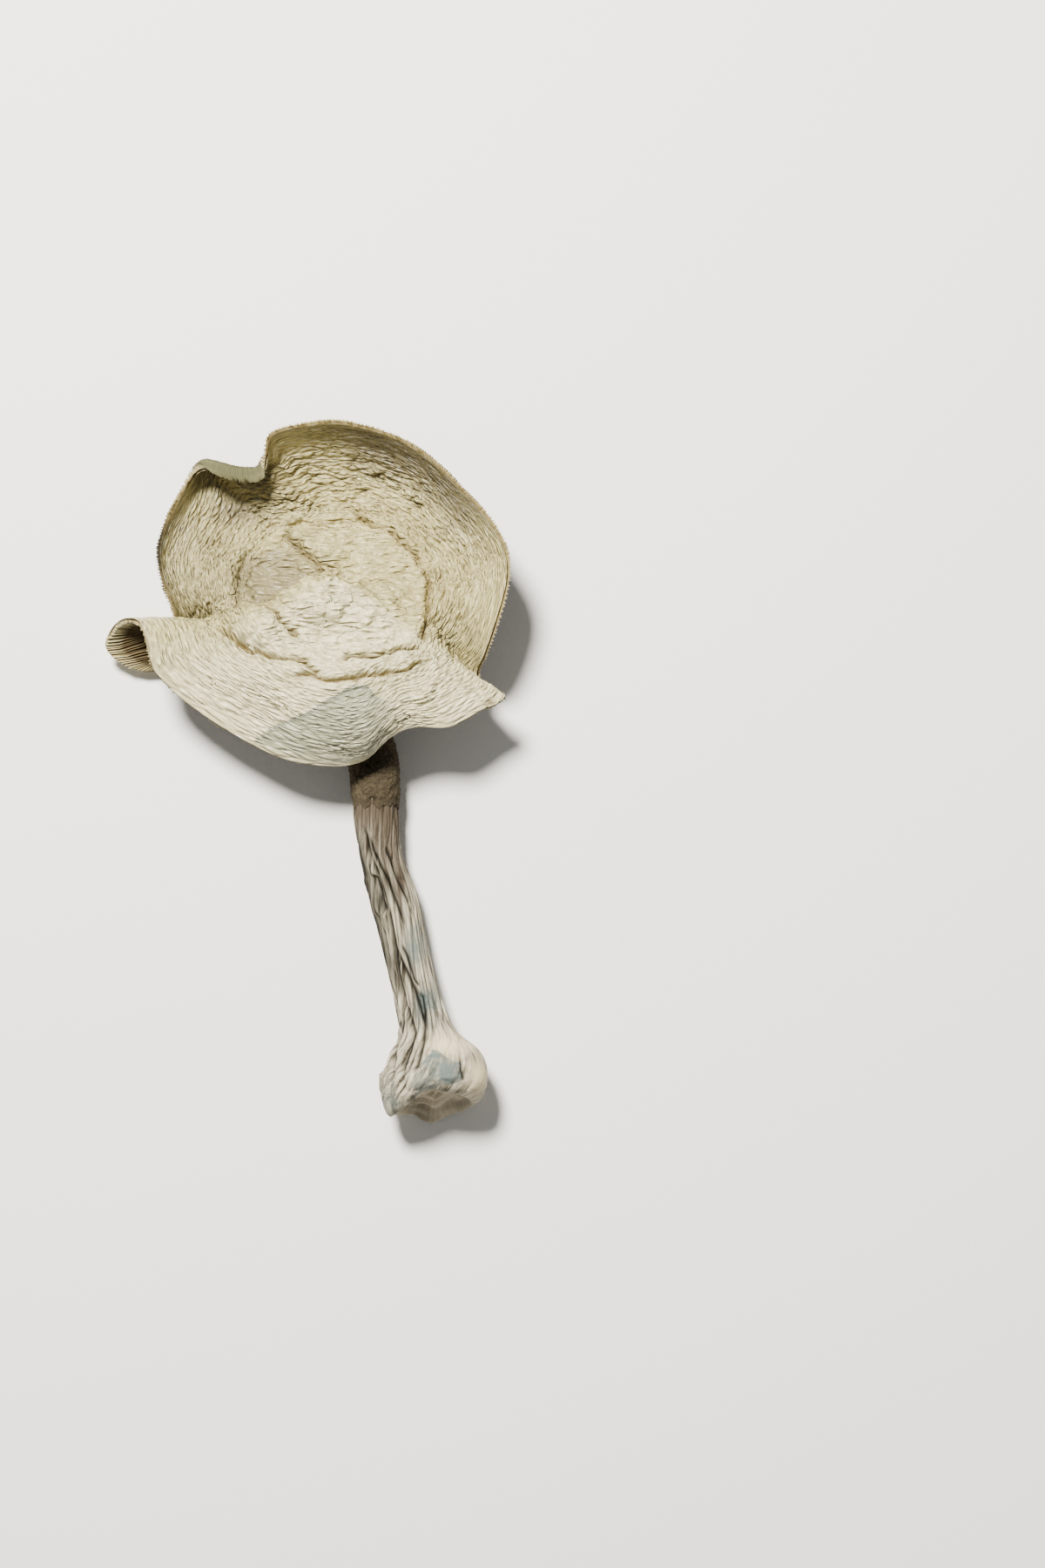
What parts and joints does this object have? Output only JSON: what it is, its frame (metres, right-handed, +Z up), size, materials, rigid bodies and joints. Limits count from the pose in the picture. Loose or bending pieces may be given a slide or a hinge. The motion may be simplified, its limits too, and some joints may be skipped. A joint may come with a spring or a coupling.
{
  "type": "dried magic mushroom",
  "caption": "Dried magic mushroom lying on its side: an upturned wrinkled cap with a folded margin, gills beneath, a torn veil and a bent stem with a swollen foot.",
  "frame": {"origin": "middle of the footprint, on the surface that the mushroom lies on", "axes": "+Z up out of the cap's dish, +Y from the foot of the stem towards the cap"},
  "size_m": [0.0708, 0.1212, 0.0219],
  "materials": {
    "cap_skin": "dried wrinkled skin, satin, cream white with blue-grey bruises",
    "gill_flesh": "matte brown gill plates with pale edges",
    "stem_fibre": "matte fibrous, pale buff with blue-grey bruises",
    "veil_tissue": "matte crumpled dark brown-grey tissue"
  },
  "bodies": {
    "root": {"cap": "cap_skin", "gills": "gill_flesh", "stem": "stem_fibre", "veil": "veil_tissue"}
  },
  "joints": []
}
